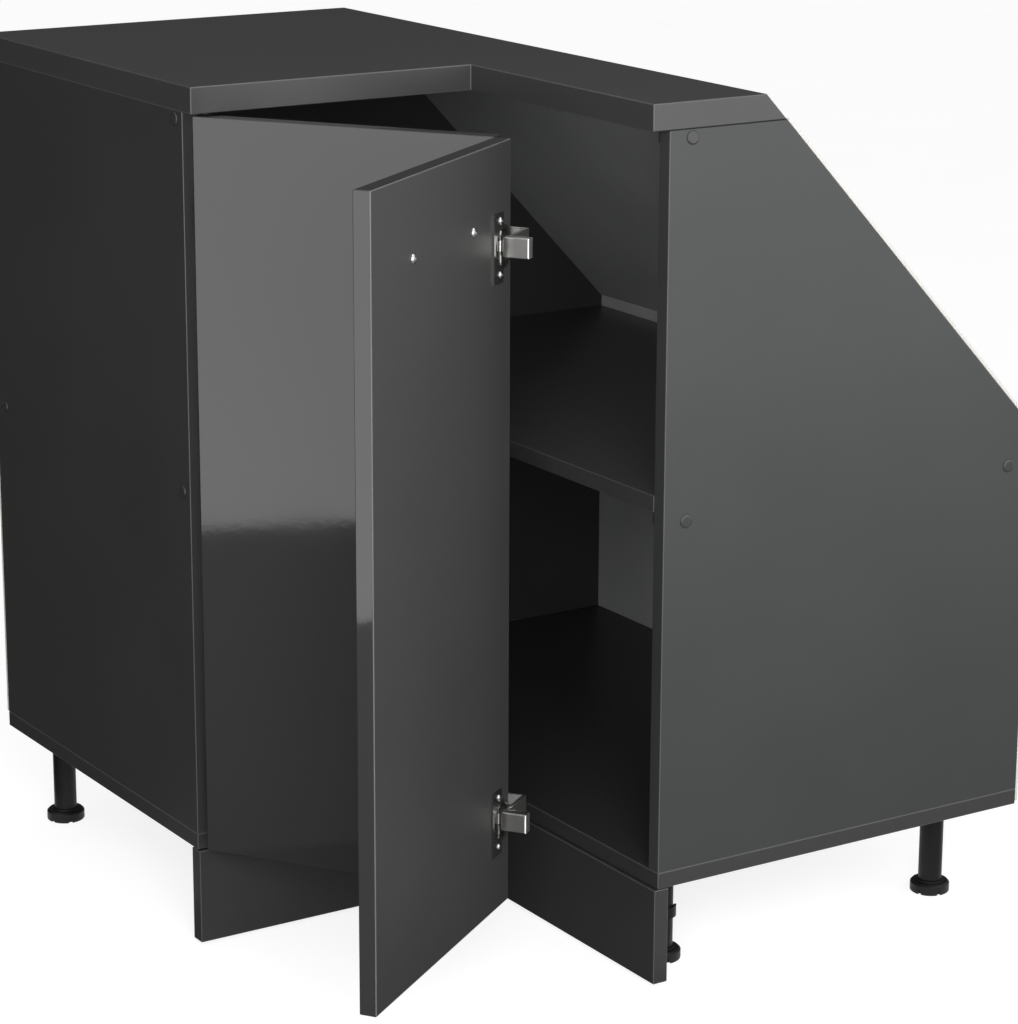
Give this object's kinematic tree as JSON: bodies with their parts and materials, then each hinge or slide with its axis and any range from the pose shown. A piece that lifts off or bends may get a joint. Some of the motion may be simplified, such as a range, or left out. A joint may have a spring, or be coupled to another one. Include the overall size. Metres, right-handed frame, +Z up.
{
  "type": "corner kitchen base cabinet",
  "caption": "dark grey L-shaped corner base cabinet with a sloped back corner, an inner shelf, screw-in feet and a two-leaf folding door shown open",
  "frame": {"origin": "centre of the bounding box's bottom face, on the floor under the feet, with the door open as pictured", "axes": "+Z up; +X from the left side panel to the right wall; +Y from the left wing's front to the rear wall"},
  "size_m": [0.8326, 0.8886, 0.845],
  "materials": {
    "worktop": "dark grey matt laminate",
    "carcass_board": "dark grey matt melamine",
    "batten_board": "dark grey matt melamine",
    "back_sheet": "light hardboard, plain outside",
    "door_front": "dark grey high gloss",
    "dowel": "plain birch",
    "cap": "dark grey plastic",
    "leg_plastic": "black plastic",
    "hinge_metal": "nickel-plated steel",
    "fastener": "zinc-plated steel",
    "handle_metal": "satin steel"
  },
  "bodies": {
    "carcass": {"worktop": "worktop", "left_side_panel": "carcass_board", "right_end_panel": "carcass_board", "bottom_panel": "carcass_board", "shelf": "carcass_board", "rear_wall_panel": "carcass_board", "rear_back_sheet": "back_sheet", "right_back_sheet": "back_sheet", "sloped_back_sheet": "back_sheet", "left_worktop_batten": "batten_board", "right_worktop_batten": "batten_board", "rear_worktop_batten": "batten_board", "left_shelf_batten": "batten_board", "right_shelf_batten": "batten_board", "rear_shelf_batten": "batten_board", "batten_screws": "fastener", "worktop_screws": "fastener", "cover_caps": "cap", "panel_dowels": "dowel", "back_sheet_nails": "fastener", "left_plinth": "carcass_board", "right_plinth": "carcass_board", "plinth_corner_bracket": "fastener", "plinth_bracket_screws": "fastener", "plinth_clips": "leg_plastic", "leg_1": "leg_plastic", "leg_2": "leg_plastic", "leg_3": "leg_plastic", "leg_4": "leg_plastic", "leg_5": "leg_plastic", "leg_6": "leg_plastic", "leg_screws": "fastener", "swing_hinge_plates": "hinge_metal", "swing_hinge_arm_upper": "hinge_metal", "swing_hinge_arm_lower": "hinge_metal", "swing_plate_screws": "fastener"},
    "left_door": {"left_door_leaf": "door_front", "swing_hinge_cup_upper": "hinge_metal", "swing_hinge_cup_lower": "hinge_metal", "swing_cup_screws": "fastener", "fold_hinge_plates": "hinge_metal", "fold_hinge_arm_upper": "hinge_metal", "fold_hinge_arm_lower": "hinge_metal", "fold_plate_screws": "fastener"},
    "right_door": {"right_door_leaf": "door_front", "fold_hinge_cup_upper": "hinge_metal", "fold_hinge_cup_lower": "hinge_metal", "fold_cup_screws": "fastener", "handle": "handle_metal", "handle_screws": "fastener"},
    "swing_inner_link": {"swing_inner_links": "hinge_metal"},
    "swing_outer_link": {"swing_outer_links": "hinge_metal"},
    "fold_link": {"fold_links": "hinge_metal"},
    "foot_1": {"foot_1": "leg_plastic"},
    "foot_2": {"foot_2": "leg_plastic"},
    "foot_3": {"foot_3": "leg_plastic"},
    "foot_4": {"foot_4": "leg_plastic"},
    "foot_5": {"foot_5": "leg_plastic"},
    "foot_6": {"foot_6": "leg_plastic"}
  },
  "joints": [
    {"name": "door_swing", "type": "hinge", "parent": "carcass", "child": "left_door", "pos_m": [-0.34572, -0.01674, 0], "axis": [0, 0, 1], "range_deg": [-55, 55]},
    {"name": "door_fold", "type": "hinge", "parent": "left_door", "child": "right_door", "pos_m": [-0.17422, -0.26166, 0], "axis": [0, 0, 1], "range_deg": [-60, 0]},
    {"name": "swing_inner_turn", "type": "hinge", "parent": "carcass", "child": "swing_inner_link", "pos_m": [-0.31572, 0.01226, 0.1895], "axis": [0, 0, 1], "range_deg": [-55, 55]},
    {"name": "swing_outer_turn", "type": "hinge", "parent": "left_door", "child": "swing_outer_link", "pos_m": [-0.32446, -0.03054, 0.1895], "axis": [0, 0, 1], "range_deg": [-55, 55]},
    {"name": "fold_link_turn", "type": "hinge", "parent": "right_door", "child": "fold_link", "pos_m": [-0.18057, -0.28137, 0.1895], "axis": [0, 0, 1], "range_deg": [0, 60]},
    {"name": "foot_1_height", "type": "slide", "parent": "carcass", "child": "foot_1", "axis": [0, 0, -1], "range_m": [0, 0.015]},
    {"name": "foot_2_height", "type": "slide", "parent": "carcass", "child": "foot_2", "axis": [0, 0, -1], "range_m": [0, 0.015]},
    {"name": "foot_3_height", "type": "slide", "parent": "carcass", "child": "foot_3", "axis": [0, 0, -1], "range_m": [0, 0.015]},
    {"name": "foot_4_height", "type": "slide", "parent": "carcass", "child": "foot_4", "axis": [0, 0, -1], "range_m": [0, 0.015]},
    {"name": "foot_5_height", "type": "slide", "parent": "carcass", "child": "foot_5", "axis": [0, 0, -1], "range_m": [0, 0.015]},
    {"name": "foot_6_height", "type": "slide", "parent": "carcass", "child": "foot_6", "axis": [0, 0, -1], "range_m": [0, 0.015]}
  ],
  "couplings": [
    {"joint": "swing_inner_turn", "follows": "door_swing", "ratio": 1},
    {"joint": "swing_outer_turn", "follows": "door_swing", "ratio": -1},
    {"joint": "fold_link_turn", "follows": "door_fold", "ratio": -1}
  ]
}
